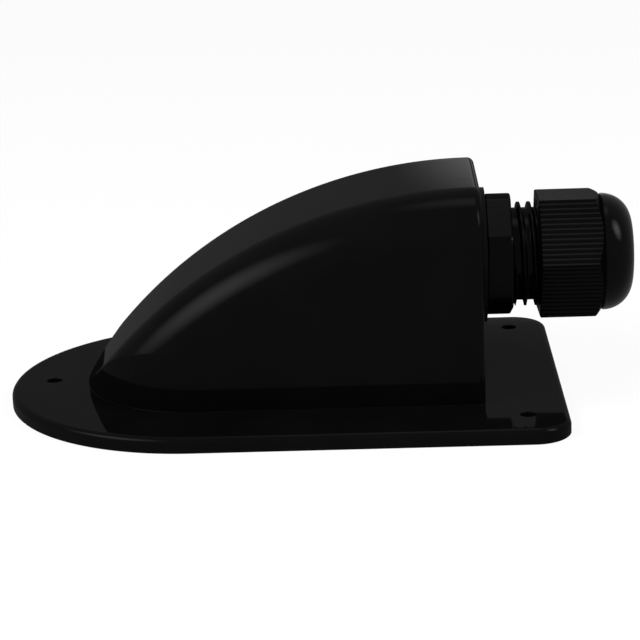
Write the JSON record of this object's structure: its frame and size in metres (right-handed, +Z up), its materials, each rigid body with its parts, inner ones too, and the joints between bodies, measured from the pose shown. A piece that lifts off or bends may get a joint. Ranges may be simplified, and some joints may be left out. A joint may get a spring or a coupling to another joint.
{
  "type": "solar roof cable entry box",
  "caption": "Black roof cable entry box: sloping hood on a flat screw-down flange, open underneath, with a cable gland in the back wall whose dome nut screws in and out.",
  "frame": {"origin": "centre of the flange's length and width, on the underside that lies on the roof", "axes": "+X from the nose to the gland, +Y across the flange, +Z up from the roof"},
  "size_m": [0.1303, 0.081, 0.0455],
  "materials": {
    "housing_plastic": "smooth glossy black",
    "gland_plastic": "satin black nylon",
    "seal_rubber": "matt black rubber"
  },
  "bodies": {
    "box": {"housing": "housing_plastic", "gland_gasket": "seal_rubber", "gland_body": "gland_plastic", "lock_nut": "gland_plastic"},
    "seal": {"seal_insert": "seal_rubber"},
    "dome_nut": {"dome_nut": "gland_plastic"}
  },
  "joints": [
    {"name": "seal_slide", "type": "slide", "parent": "box", "child": "seal", "axis": [1, 0, 0], "range_m": [-0.0028, 0.0039]},
    {"name": "nut_turn", "type": "hinge", "parent": "seal", "child": "dome_nut", "pos_m": [0.0634, 0, 0.028], "axis": [1, 0, 0], "range_deg": [-450, 630]}
  ],
  "couplings": [
    {"joint": "seal_slide", "follows": "nut_turn", "m_per_rad": 0.00035014}
  ]
}
